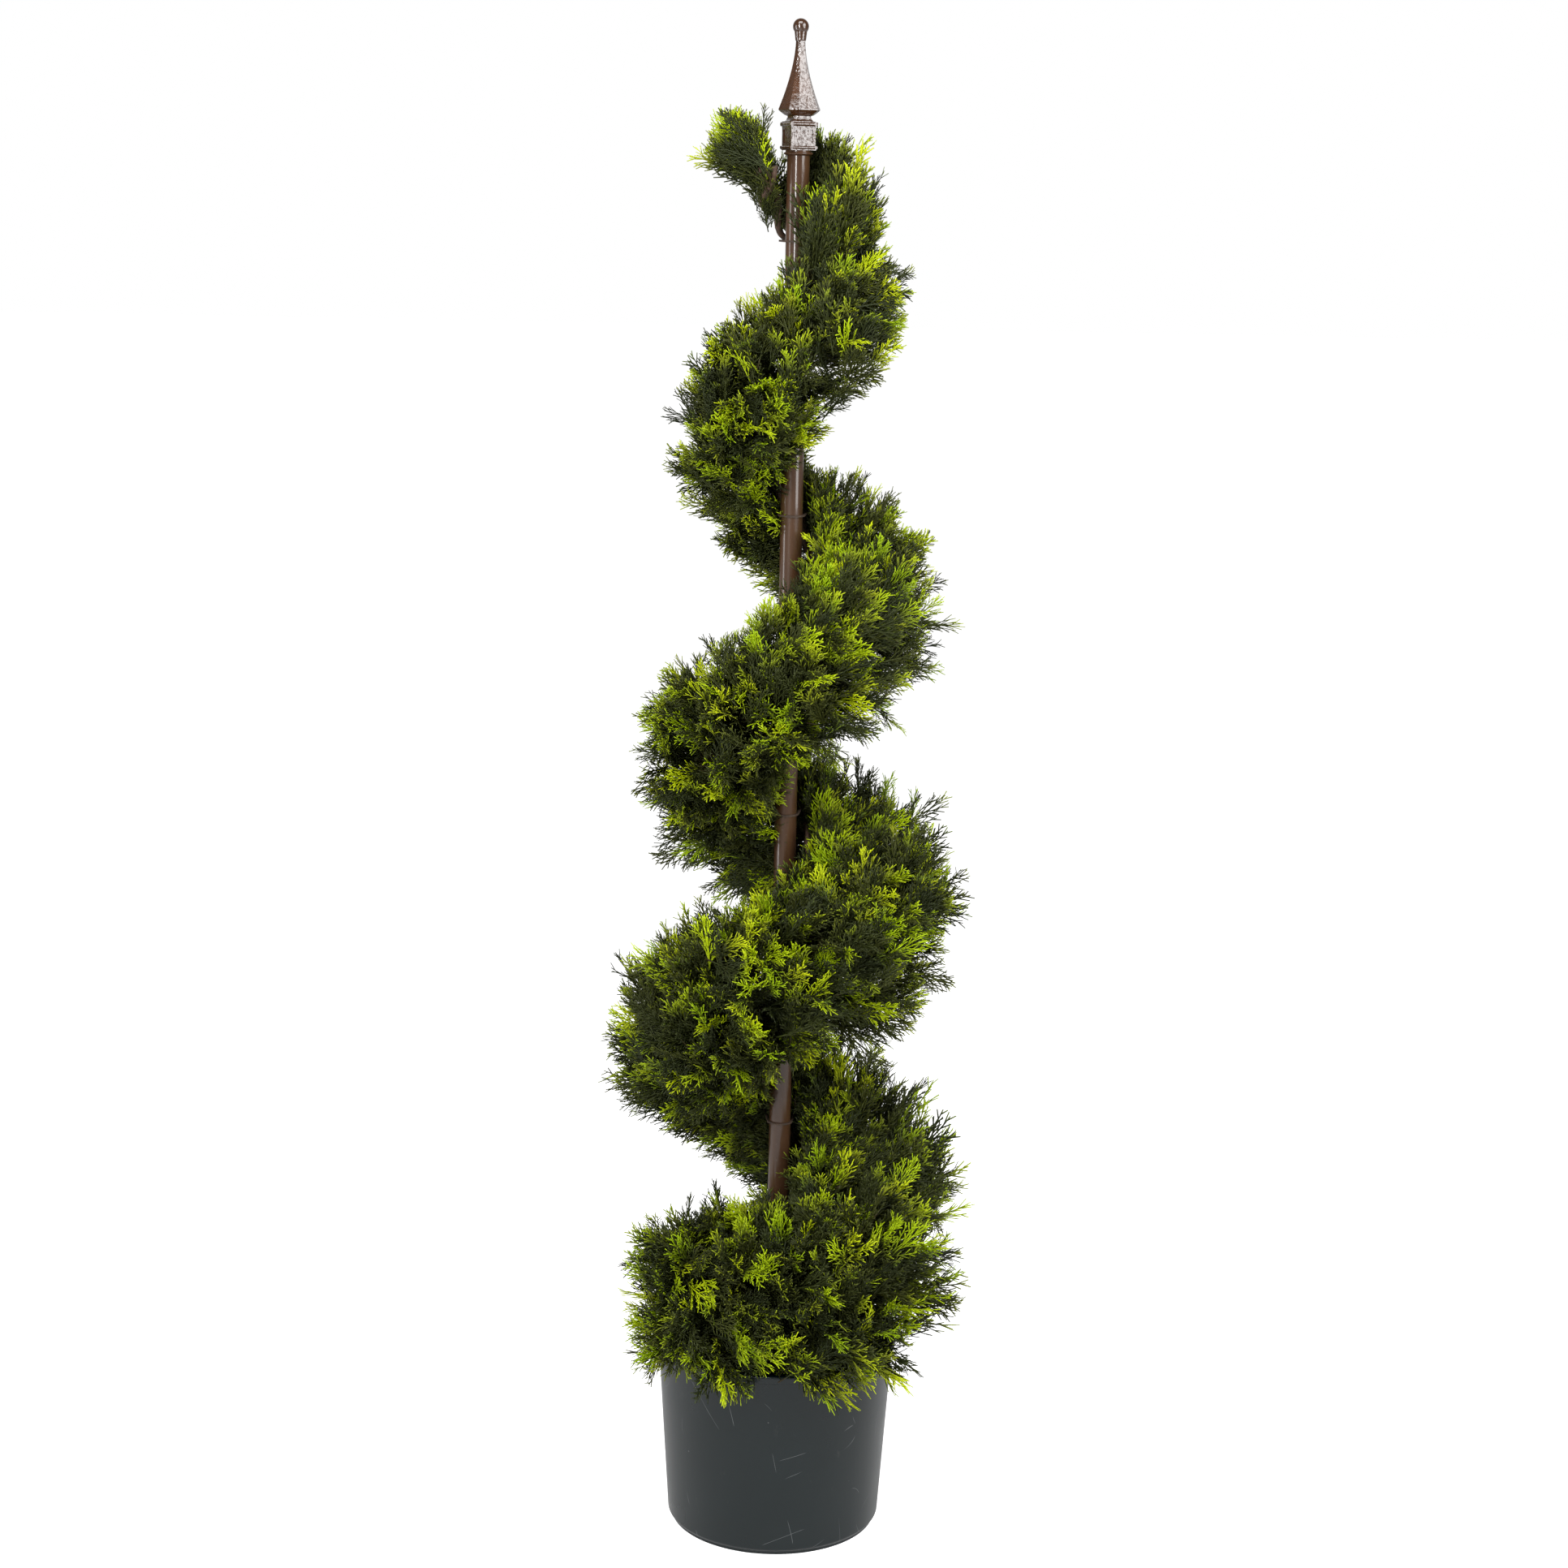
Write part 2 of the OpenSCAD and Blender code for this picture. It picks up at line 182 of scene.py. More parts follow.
def gloss_paint(name, base, warm, rough):
    """Dark brown paint over metal with a slightly uneven gloss skin and fine flecks."""
    s = Shader(name)
    streak = s.noise(9, 3, (6, 6, 0.7))
    colour = s.ramp(streak, (0.32, base), (0.72, warm))
    fleck = s.spread(s.noise(520, 2), 0.66, 0.74)
    colour = s.mix(s.maths("MULTIPLY", fleck, 0.25), colour, (0.12, 0.09, 0.07))
    skin = s.bump(s.noise(85, 2, (1, 1, 0.25)), 0.00035, 0.5)
    s.set(Base_Color=colour, Roughness=s.spread(s.noise(30, 3), 0.3, 0.7, rough, rough + 0.1),
          Normal=s.bump(s.noise(420, 2), 0.00006, 0.6, skin))
    s.put(s.main, "Specular IOR Level", 0.2)
    s.put(s.main, "Coat Weight", 0.6)
    s.put(s.main, "Coat Roughness", 0.04)
    return s.material


def hammered_paint():
    """Glossy brown paint over a rough casting: a hammered skin whose flats shine and whose pits
    stay dark."""
    s = Shader("hammered_paint")
    patch = s.noise(45, 4, (1, 1, 0.6))
    colour = s.ramp(patch, (0.3, (0.024, 0.009, 0.0035)), (0.55, (0.040, 0.016, 0.006)),
                    (0.75, (0.058, 0.023, 0.009)))
    dents = s.noise(360, 3, rough=0.6)
    skin = s.bump(dents, 0.0003, 0.8, s.bump(s.noise(110, 2), 0.0003, 0.5))
    s.set(Base_Color=colour, Roughness=s.spread(dents, 0.35, 0.65, 0.45, 0.3), Normal=skin)
    s.put(s.main, "Specular IOR Level", 0.06)
    s.put(s.main, "Coat Weight", s.spread(dents, 0.38, 0.52, 0.35, 1.0))
    s.put(s.main, "Coat Roughness", 0.06)
    s.put(s.main, "Coat IOR", 1.75)
    s.put(s.main, "Coat Normal", skin)
    return s.material


def plain_steel():
    """Drawn and turned steel, brushed along its length."""
    s = Shader("plain_steel")
    brush = s.noise(260, 3, (1, 1, 0.05))
    s.set(Base_Color=s.ramp(brush, (0.3, (0.13, 0.13, 0.14)), (0.7, (0.26, 0.26, 0.27))),
          Metallic=1.0, Roughness=s.spread(brush, 0.3, 0.7, 0.3, 0.46),
          Normal=s.bump(brush, 0.0001, 0.4))
    return s.material


def cement():
    """Grey poured cement with a sandy grain."""
    s = Shader("cement")
    grain = s.noise(160, 5, rough=0.65)
    colour = s.ramp(s.noise(22, 4), (0.3, (0.33, 0.32, 0.3)), (0.7, (0.5, 0.48, 0.45)))
    colour = s.mix(s.spread(grain, 0.6, 0.8), colour, (0.2, 0.19, 0.18))
    s.set(Base_Color=colour, Roughness=0.92, Normal=s.bump(grain, 0.001, 0.7))
    return s.material


def foam():
    """Dark green florist's foam with small cells."""
    s = Shader("packing_foam")
    cells = s.node("TexVoronoi", Scale=420.0, Vector=s.place())
    colour = s.ramp(cells.outputs["Distance"], (0.1, (0.03, 0.06, 0.02)), (0.6, (0.1, 0.2, 0.07)))
    s.set(Base_Color=colour, Roughness=0.95,
          Normal=s.bump(cells.outputs["Distance"], 0.0008, 0.6))
    return s.material


def moss(name, light):
    """Dried moss, brown to olive, with its colours multiplied by a lightness."""
    s = Shader(name)
    patch = s.noise(35, 4)
    shades = ((0.3, (0.035, 0.026, 0.012)), (0.55, (0.08, 0.06, 0.025)), (0.75, (0.09, 0.1, 0.03)))
    colour = s.ramp(patch, *((at, tuple(light * c for c in rgb)) for at, rgb in shades))
    s.set(Base_Color=colour, Roughness=0.9, Normal=s.bump(s.noise(500, 4), 0.0015, 0.8))
    return s.material


def bark(name, dark, light):
    """Ridged bark or paper tape, from a dark colour in its grooves to a light one."""
    s = Shader(name)
    ridges = s.noise(120, 5, (1, 1, 0.35), 0.65)
    colour = s.ramp(ridges, (0.3, dark), (0.6, light), (0.8, tuple(1.5 * c for c in light)))
    s.set(Base_Color=colour, Roughness=0.75, Normal=s.bump(ridges, 0.0012, 0.8))
    return s.material


VARIANTS = 32  # shades that a spray can take, as rows of the foliage's colour map
UV_MAP = "OFBake"


def cypress():
    """Artificial cypress. The map's first axis runs from a spray's stem (0) to its tips (1).
    Its second axis is the spray's shade: how far the lime colour comes down from the tips.
    Each shade also has a green and a lime of its own, by chance."""
    s = Shader("cypress_foliage")
    uv = s.node("UVMap")
    uv.uv_map = UV_MAP
    split = s.node("SeparateXYZ", Vector=uv.outputs["UV"])
    along, shade = split.outputs["X"], split.outputs["Y"]
    row = s.maths("FLOOR", s.maths("MULTIPLY", shade, VARIANTS))
    dice = s.node("TexWhiteNoise")
    dice.noise_dimensions = "1D"
    s.put(dice, "W", row)
    chance = dice.outputs["Value"]
    lime_from = s.spread(row, 0, VARIANTS - 1, 1.12, 0.42)
    reach = s.maths("SUBTRACT", along, lime_from)
    lime = s.spread(reach, -0.12, 0.16)
    green = s.ramp(chance, (0.0, (0.024, 0.031, 0.009)), (0.5, (0.034, 0.042, 0.010)),
                   (1.0, (0.056, 0.064, 0.011)))
    tip = s.ramp(chance, (0.0, (0.32, 0.46, 0.004)), (0.5, (0.44, 0.56, 0.004)),
                 (1.0, (0.55, 0.62, 0.006)))
    colour = s.mix(lime, green, tip)
    stem = s.spread(along, 0.02, 0.1, 1.0, 0.0)
    colour = s.mix(stem, colour, (0.05, 0.035, 0.015))
    s.set(Base_Color=colour, Roughness=0.45)
    s.put(s.main, "Specular IOR Level", 0.22)
    through = s.node("BsdfTranslucent", Color=colour)
    both = s.node("MixShader", Fac=0.22)
    out = s.tree.nodes["Material Output"]
    s.tree.links.new(s.main.outputs["BSDF"], both.inputs[1])
    s.tree.links.new(through.outputs["BSDF"], both.inputs[2])
    s.tree.links.new(both.outputs["Shader"], out.inputs["Surface"])
    return s.material


# ---------------------------------------------------------------- meshes

def mesh_object(name, points, faces, material, smooth=True):
    """A mesh object from an (n, 3) array of points and an array or list of faces."""
    mesh = bpy.data.meshes.new(name)
    mesh.from_pydata([tuple(p) for p in points], [], [tuple(int(i) for i in f) for f in faces])
    mesh.validate()
    if smooth:
        mesh.shade_smooth()
    else:
        mesh.shade_flat()
    mesh.materials.append(material)
    obj = bpy.data.objects.new(name, mesh)
    bpy.context.scene.collection.objects.link(obj)
    return obj


def stand_for(obj, slot, *replaced):
    """Rides a piece on the tree in place of the CAD nodes named. The slot is not used."""
    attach(obj, BODY)
    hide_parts(*replaced)


TUBE_SIDE_HINT = (0.31, 0.87, 0.38)   # a direction that no path here runs along


def swept(path, radius, sides, wobble, seed):
    """A closed tube of points and faces along a path, with a bark-like uneven skin."""
    rng = np.random.default_rng(seed)
    path = np.asarray(path, float)
    n = len(path)
    step = np.gradient(path, axis=0)
    step /= np.linalg.norm(step, axis=1)[:, None]
    side = np.cross(step, TUBE_SIDE_HINT)
    side /= np.linalg.norm(side, axis=1)[:, None]
    other = np.cross(step, side)
    angle = np.arange(sides) * 2 * math.pi / sides
    lumps = rng.normal(0, 1, (n, sides))
    for _ in range(2):
        lumps = (lumps + np.roll(lumps, 1, 0) + np.roll(lumps, -1, 0)) / 3 ** 0.5
    r = radius * (1 + wobble * lumps)
    points = (path[:, None] + r[..., None] * (side[:, None] * np.cos(angle)[:, None]
                                              + other[:, None] * np.sin(angle)[:, None]))
    faces = [[k * sides + i, k * sides + (i + 1) % sides,
              (k + 1) * sides + (i + 1) % sides, (k + 1) * sides + i]
             for k in range(n - 1) for i in range(sides)]
    faces += [list(range(sides))[::-1], [(n - 1) * sides + i for i in range(sides)]]
    return points.reshape(-1, 3), faces


# ---------------------------------------------------------------- the spiral

# the spiral's core line by the turn, where whole turns lie in front of the pole
FIRST_TURN, LAST_TURN = -0.45, 3.8
HEIGHTS = ((-0.55, 0, 1, 2, 3, 3.8), (0.192, 0.255, 0.6, 0.9, 1.2, 1.384))
CORE_RADII = ((-0.55, 3.8), (0.044, 0.031))
VINE_R = 0.0034
VINE_OFFSET = 0.0074  # of a vine strand from the core line
VINE_TWIST = 3.3      # how often the strands wind round the core line in a turn
WIRE_R = 0.003
ROUND_SIDES = 12      # of a vine strand and of the wire
PATH_POINTS = 620     # along the whole spiral
FOOT_POINTS = 24      # along the wire's upright foot
BUNCHES = 34


def outward(u):
    """Directions from the pole's axis at the turns u."""
    a = 2 * math.pi * np.asarray(u, float) - math.pi / 2
    return np.stack([np.cos(a), np.sin(a), 0 * a], -1)


def core(u):
    """Points on the spiral's core line at the turns u."""
    p = outward(u) * np.interp(u, *CORE_RADII)[..., None]
    p[..., 2] = np.interp(u, *HEIGHTS)
    return p


def unit(v):
    return v / np.linalg.norm(v, axis=-1, keepdims=True)


def along(u):
    """Directions up the core line at the turns u."""
    return unit(core(u + 0.01) - core(u - 0.01))


def vine_line(turns, phase):
    t = 2 * math.pi * VINE_TWIST * turns + phase
    across = np.cross(along(turns), outward(turns))
    return core(turns) + VINE_OFFSET * (outward(turns) * np.cos(t)[:, None]
                                        + across * np.sin(t)[:, None])


def spiral_core():
    """Two bark-covered strands twisted round a taped wire that stands in the filling."""
    turns = np.linspace(FIRST_TURN + 0.01, LAST_TURN, PATH_POINTS)
    strand_bark = bark("vine_bark", (0.022, 0.011, 0.006), (0.075, 0.038, 0.02))
    for name, phase in (("vine_strand_1", 0.0), ("vine_strand_2", math.pi)):
        points, faces = swept(vine_line(turns, phase), VINE_R, ROUND_SIDES, 0.09, 5)
        obj = mesh_object(name + "_bark", points, faces, strand_bark)
        stand_for(obj, "vine_bark", name)
    wire_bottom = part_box("spiral_wire")[0].z
    foot = core(np.array([FIRST_TURN]))[0]
    upright = [(foot[0], foot[1], z)
               for z in np.linspace(wire_bottom, foot[2] - 0.008, FOOT_POINTS)]
    path = np.vstack([upright, core(turns)])
    points, faces = swept(path, WIRE_R, ROUND_SIDES, 0.05, 6)
    obj = mesh_object("spiral_wire_taped", points, faces,
                      bark("taped_wire", (0.03, 0.03, 0.01), (0.09, 0.08, 0.03)))
    stand_for(obj, "taped_wire", "spiral_wire")


# ---------------------------------------------------------------- the sprays

# the band of foliage by the turn: its reach from the pole's axis, and how far it goes up and
# down from the core
BAND = np.array((
    (-0.50, 0.130, 0.080, 0.060), (-0.25, 0.148, 0.104, 0.080), (0.00, 0.158, 0.100, 0.100),
    (0.12, 0.176, 0.104, 0.126), (0.25, 0.190, 0.096, 0.184), (0.50, 0.160, 0.084, 0.125),
    (0.75, 0.170, 0.118, 0.078), (1.00, 0.158, 0.088, 0.092), (1.25, 0.172, 0.066, 0.124),
    (1.45, 0.152, 0.056, 0.130), (1.75, 0.140, 0.058, 0.130), (2.00, 0.136, 0.076, 0.092),
    (2.25, 0.142, 0.070, 0.106), (2.50, 0.114, 0.056, 0.100), (2.75, 0.110, 0.090, 0.084),
    (3.00, 0.094, 0.084, 0.084), (3.15, 0.112, 0.072, 0.062), (3.25, 0.106, 0.066, 0.056),
    (3.33, 0.068, 0.140, 0.050), (3.42, 0.054, 0.110, 0.040), (3.52, 0.054, 0.060, 0.000),
    (3.60, 0.034, 0.060, 0.000), (3.80, 0.034, 0.060, 0.000)))
MOST_REACH = 0.189    # of a spray's tip from the pole's axis
LOWEST_TIP = RIM_Z - 0.022
LIME_SHARE = ((-0.5, 0.7, 3.8), (0.93, 0.97, 1.0))   # of the lime tips, by the turn
LAST_LOBE = 3.42      # beyond this turn the sprays only point up and outwards
SQUARENESS = 3.6      # of the band's cross-section: 2 is an ellipse
INNER_REACH = 0.014   # of the band from the core towards the pole

# one spray: a stem, branchlets on both its sides, and twigs on each branchlet
TWIG_R = 0.00074
STEM_R = 0.0011
FLATNESS = 0.6        # a twig's thickness as a share of its width
BRANCH_PITCH = 0.0040
TWIG_PITCH = 0.0040
TWIG_SHORTEST, TWIG_LONGEST = 0.0050, 0.0095
TWIG_ANGLE, TWIG_ANGLE_SPREAD = 25, 4        # degrees from the branchlet
TWIG_LIFT_SPREAD = 0.22                      # radians out of the spray's plane
BRANCH_CURL = (0.1, 0.4)                     # radians forwards over its length
BRANCH_ANGLES, BRANCH_ANGLE_SPREAD = (34, 22), 4   # degrees from the stem, first and last
BRANCH_LIFT_SPREAD = 0.2
WIDEST_AT = 0.3       # where along its branchlets a spray is widest
TIP_ZONE = 0.075      # how far back from a spray's end its lime colour can come
STEM_SHARE = 0.86     # where a spray's stem ends and its last branchlets carry on
STEM_POINTS = 8


class Twigs:
    """Twig lines of one spray, each a closed, flattened tube with three sides."""

    def __init__(self):
        self.points, self.faces = [], []

    def add(self, line, radii):
        line, radii = np.asarray(line, float), np.asarray(radii, float)[:, None]
        step = unit(np.gradient(line, axis=0))
        side = unit(np.cross(step, (0, 0, 1.0)))
        other = np.cross(side, step) * FLATNESS
        half, low = math.cos(math.pi / 6), math.sin(math.pi / 6)
        rings = np.stack([line + radii * other, line - radii * (half * side + low * other),
                          line + radii * (half * side - low * other)], 1)
        first = 3 * sum(len(r) for r in self.points)
        for k in range(len(line) - 1):
            i = first + 3 * k
            for m, n in ((0, 1), (1, 2), (2, 0)):
                self.faces += [(i + m, i + n, i + 3 + n), (i + m, i + 3 + n, i + 3 + m)]
        last = first + 3 * (len(line) - 1)
        self.faces += [(first + 2, first + 1, first), (last, last + 1, last + 2)]
        self.points.append(rings)

    def mesh(self):
        return np.concatenate(self.points).reshape(-1, 3), np.array(self.faces)


def heading(angle, lift):
    """A direction at an angle in the spray's plane, tipped out of the plane."""
    c = math.cos(lift)
    return np.array([math.cos(angle) * c, math.sin(angle) * c, math.sin(lift)])


def branchlet(twigs, rng, start, angle, lift, size, side):
    """A branchlet that curls forwards, with alternate twigs that shorten towards its end."""
    count = max(2, round(size / TWIG_PITCH))
    step = size / count
    curl = -side * rng.uniform(*BRANCH_CURL)
    line = [np.array(start, float)]
    for k in range(count):
        line.append(line[-1] + step * heading(angle + curl * k / count, lift))
        left = size - (k + 1) * step
        twig = min(TWIG_LONGEST, TWIG_SHORTEST + 0.5 * left) * rng.uniform(0.75, 1.2)
        way = (side if k % 2 else -side) * math.radians(rng.normal(TWIG_ANGLE, TWIG_ANGLE_SPREAD))
        end = line[-1] + twig * heading(angle + curl * (k + 0.5) / count + way,
                                        lift + rng.normal(0, TWIG_LIFT_SPREAD))
        if k + 1 < count:
            twigs.add([line[-1], end], [TWIG_R * 0.92, TWIG_R * 0.66])
    thin = max(1, count // 3)     # a long branchlet's own line needs few points
    kept = line[::thin] if (count % thin) == 0 else line[::thin] + [line[-1]]
    twigs.add(kept, np.linspace(TWIG_R, TWIG_R * 0.7, len(kept)))


def spray(rng, length, width, bare):
    """One flat spray along +X: a stem with alternate branchlets beyond its bare part. The stem
    bows out of the spray's plane and sways in it. Gives its points, its faces and the places
    of its points between the stem's colour (0) and the tips' (1)."""
    twigs = Twigs()
    bow, sway = rng.normal(0, 0.12), rng.normal(0, 0.08)

    def stem_at(x):
        return np.stack([x, sway * x * x / length, bow * x * x / length], -1)

    first, last = bare * length, STEM_SHARE * length
    twigs.add(stem_at(np.linspace(0, last, STEM_POINTS)),
              np.linspace(STEM_R, TWIG_R, STEM_POINTS))
    count = int((last - first) / BRANCH_PITCH)
    for k in range(count):
        f = (k + 0.5 + rng.uniform(-0.25, 0.25)) / count
        x = first + (last - first) * f
        side = 1 if k % 2 else -1
        if f < WIDEST_AT:
            outline = 0.5 + 1.67 * f
        else:
            outline = 1 - 0.5 * ((f - WIDEST_AT) / (1 - WIDEST_AT)) ** 1.5
        lean = BRANCH_ANGLES[0] + (BRANCH_ANGLES[1] - BRANCH_ANGLES[0]) * f
        angle = 2 * sway * x / length + side * math.radians(rng.normal(lean, BRANCH_ANGLE_SPREAD))
        lift = 2 * bow * x / length + rng.normal(0, BRANCH_LIFT_SPREAD)
        branchlet(twigs, rng, stem_at(x), angle, lift,
                  width * outline * rng.uniform(0.75, 1.15), side)
    branchlet(twigs, rng, stem_at(last), 2 * sway, 2 * bow, length - last, 1)
    points, faces = twigs.mesh()
    return points, faces, np.clip(1 - (length - points[:, 0]) / TIP_ZONE, 0.004, 0.996)


# the sprays' patterns, shortest first: a length, the longest branchlet's length, and the share
# of the stem that is bare
SPRAY_LENGTHS = (0.045, 0.060, 0.080, 0.105, 0.135)
SPRAY_WIDTHS = (0.022, 0.027, 0.031, 0.034, 0.037)
SPRAY_BARE = (0.04, 0.08, 0.15, 0.25, 0.33)
SPRAYS_PER_LENGTH = 5

MOSS_STRANDS = 2600
MOSS_STRAND_R = 0.0005
MOSS_STRAND_POINTS = 9
MOSS_STEPS = (0.0018, 0.0034)
MOSS_ARCHES = (0.001, 0.007)
MOSS_GAP = 0.004
MOSS_SEED = 41


def moss_strands():
    """Curly strands of dried moss that lie on the moss cover, clear of the pole and the wire."""
    rng = np.random.default_rng(MOSS_SEED)
    twigs = Twigs()
    near, far = POLE_R + MOSS_GAP, MOSS_R - MOSS_GAP
    wire = core(np.array([FIRST_TURN]))[0, :2]
    for _ in range(MOSS_STRANDS):
        r = near + (far - near) * math.sqrt(rng.uniform())
        angle, facing = rng.uniform(0, 2 * math.pi, 2)
        spot = np.array([r * math.cos(angle), r * math.sin(angle)])
        step, curl = rng.uniform(*MOSS_STEPS), rng.normal(0, 0.5)
        arch = rng.uniform(*MOSS_ARCHES)
        line = []
        for k in range(MOSS_STRAND_POINTS):
            rise = arch * math.sin(math.pi * k / (MOSS_STRAND_POINTS - 1))
            line.append((*spot, MOSS_Z + rise))
            facing += curl + rng.normal(0, 0.25)
            spot = spot + step * np.array([math.cos(facing), math.sin(facing)])
        flat = np.array(line)[:, :2]
        r = np.hypot(*flat.T)
        if r.min() > near and r.max() < far and np.hypot(*(flat - wire).T).min() > 2 * MOSS_GAP:
            twigs.add(line, np.full(MOSS_STRAND_POINTS, MOSS_STRAND_R))
    points, faces = twigs.mesh()
    obj = mesh_object("moss_strands", points, faces, moss("moss_strands", 1.5))
    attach(obj, BODY)


def clumps(u, angle):
    """A slow, uneven pattern over the band, from -1 to 1, which gathers the sprays into tufts."""
    return (np.sin(47 * u + 3.1 * angle) + np.sin(83 * u - 5.3 * angle + 1.7)
            + np.sin(117 * u + 7.7 * angle + 0.6)) / 3


def band_size(u):
    """The band's reach, and how far it goes up and down, at the turns u."""
    return [np.interp(u, BAND[:, 0], BAND[:, k]) for k in (1, 2, 3)]


def band_point(u, angle, share):
    """Points of the foliage band: angle 0 is outwards and 90 degrees upwards from the core,
    and share 1 lies on the band's surface."""
    c, s = np.cos(angle), np.sin(angle)
    roundness = (np.abs(c) ** SQUARENESS + np.abs(s) ** SQUARENESS) ** (-1 / SQUARENESS)
    reach, up, down = band_size(u)
    out = np.where(c > 0, reach - np.interp(u, *CORE_RADII), INNER_REACH) * c * roundness * share
    p = core(u) + outward(u) * out[:, None]
    p[:, 2] += np.where(s > 0, up, down) * s * roundness * share
    return p


def nearest_turn(p, u):
    """The turn of the core point nearest to each p, looked for within a third of a turn."""
    tries = u[:, None] + np.linspace(-0.33, 0.33, 45)[None]
    tries = np.clip(tries, FIRST_TURN + 0.01, LAST_TURN - 0.005)
    away = np.linalg.norm(core(tries) - p[:, None], axis=-1)
    return tries[np.arange(len(u)), away.argmin(1)]


# Each of the next four functions makes a group of sprays: their roots, their tips, the ways
# that their flat sides face, and the shares of the band's reach that their tips lie at.

MAIN_SPRAYS = 2700
MAIN_ANGLES = (-1.8, 1.8)            # from straight outwards, in radians
LAST_LOBE_ANGLE = 0.4                # the least angle beyond the last lobe
MAIN_SHARE, MAIN_CLUMPING, MAIN_LOOSENESS = 0.95, 0.17, 0.06
SHORT_ONES, SHORT_SHARES = 0.22, (0.55, 0.85)
PROUD_ONES, PROUD_SHARES = 0.10, (1.08, 1.26)
LOWEST_TIP_SPREAD = 0.03
# how far down the spiral a spray starts from its tip's nearest point: turns by the turn
SWEEP = ((-0.5, 0.5, 0.9), (0.15, 0.15, 0.085))
SWEEP_SPREAD = 0.035


def main_sprays(rng, start, span, count):
    """Sprays from the core to the band's surface, swept up the spiral."""
    u = start + span * rng.uniform(0, 1, count)
    least, most = MAIN_ANGLES
    angle = rng.uniform(np.where(u > LAST_LOBE, LAST_LOBE_ANGLE, least), most, count)
    share = MAIN_SHARE + MAIN_CLUMPING * clumps(u, angle) + rng.normal(0, MAIN_LOOSENESS, count)
    dice = rng.uniform(0, 1, count)
    short, proud = rng.uniform(*SHORT_SHARES, count), rng.uniform(*PROUD_SHARES, count)
    share *= np.where(dice < SHORT_ONES, short, np.where(dice > 1 - PROUD_ONES, proud, 1))
    tips = band_point(u, angle, np.clip(share, 0.4, 1.3))
    tips[:, :2] /= np.maximum(np.hypot(tips[:, 0], tips[:, 1]) / MOST_REACH, 1)[:, None]
    tips[:, 2] = np.maximum(tips[:, 2], LOWEST_TIP + rng.uniform(0, LOWEST_TIP_SPREAD, count))
    near = nearest_turn(tips, u) - np.interp(u, *SWEEP) - rng.normal(0, SWEEP_SPREAD, count)
    faced = along(u) + rng.normal(0, 0.6, (count, 3))
    return core(np.clip(near, FIRST_TURN, LAST_TURN)), tips, faced, share


DRAPED_SPRAYS = 2000
DRAPED_ANGLES = (-1.7, 1.7)
DRAPED_SHARE, DRAPED_CLUMPING, DRAPED_LOOSENESS = 0.8, 0.08, 0.06
DRAPED_LENGTHS = (0.045, 0.085)
FULL_BAND = 0.19      # the band's height from which the draped sprays have their full lengths


def draped_sprays(rng, start, span, count):
    """Sprays that lie over the band's surface like shingles, mostly leaning up the spiral."""
    u = start + span * rng.uniform(0, 1, count)
    u = u[u < LAST_LOBE]
    count = len(u)
    angle = rng.uniform(*DRAPED_ANGLES, count)
    share = (DRAPED_SHARE + DRAPED_CLUMPING * clumps(u, angle)
             + rng.normal(0, DRAPED_LOOSENESS, count))
    middle = band_point(u, angle, np.clip(share, 0.5, 0.92))
    out = unit(middle - core(nearest_turn(middle, u)))
    turn = (0.35 + 0.7 * np.sin(17 * u + 1.3 * angle) + 0.5 * np.sin(31 * u - 2.1 * angle + 1)
            + rng.normal(0, 0.3, count))[:, None]
    ahead = unit(along(u) - out * np.sum(along(u) * out, 1)[:, None])
    way = ahead * np.cos(turn) + np.cross(out, ahead) * np.sin(turn)
    way = unit(way + out * rng.uniform(0.3, 0.9, count)[:, None])
    _, up, down = band_size(u)
    size = rng.uniform(*DRAPED_LENGTHS, count) * np.clip((up + down) / FULL_BAND, 0, 1)
    size = size[:, None]
    root = middle - way * size * 0.6
    return root, root + way * size, out + rng.normal(0, 0.3, (count, 3)), share


CROWN_TURNS = (3.08, 3.42)
CROWN_DENSITY = 420   # sprays per turn
CROWN_REACH = (0.03, 0.068)
CROWN_DROP = 0.046    # how far below the crown's top its tips spread
BESIDE_X, BEHIND_Y = 0.044, -0.004   # beyond either, a tip is clear of the finial's block


def crown(rng, start, span):
    """Steep sprays of the last turn, which climb in front of the pole's right half and, where
    they are beside or behind the finial's block, as far as its spire."""
    low, high = max(start, CROWN_TURNS[0]), min(start + span, CROWN_TURNS[1])
    count = max(0, round(CROWN_DENSITY * (high - low)))
    u = rng.uniform(min(low, high), high, count)
    tips = outward(u) * rng.uniform(*CROWN_REACH, count)[:, None]
    beside = (tips[:, 0] > BESIDE_X) | (tips[:, 1] > BEHIND_Y)
    top = np.where(beside, SPIRE_Z + 0.022 - tips[:, 0], POLE_TOP - 0.018)
    tips[:, 2] = top - np.abs(rng.normal(0, CROWN_DROP, count))
    root = core(u - 0.03) + rng.normal(0, 0.004, (count, 3))
    faced = outward(u) + rng.normal(0, 0.5, (count, 3))
    return root, tips, faced, np.full(count, 1.1)


TUFTED_BUNCHES = 2    # the last ones, which share the tuft
TUFT_SPRAYS = 46      # in each of them
TUFT_RISE = (0.5, 1.45)              # radians above the horizontal, towards -X
TUFT_LENGTH = 0.082
TUFT_LEAST_X = 0.030  # of a fanned tip, to the left of the axis
HUGGING_LENGTHS = (0.02, 0.03)


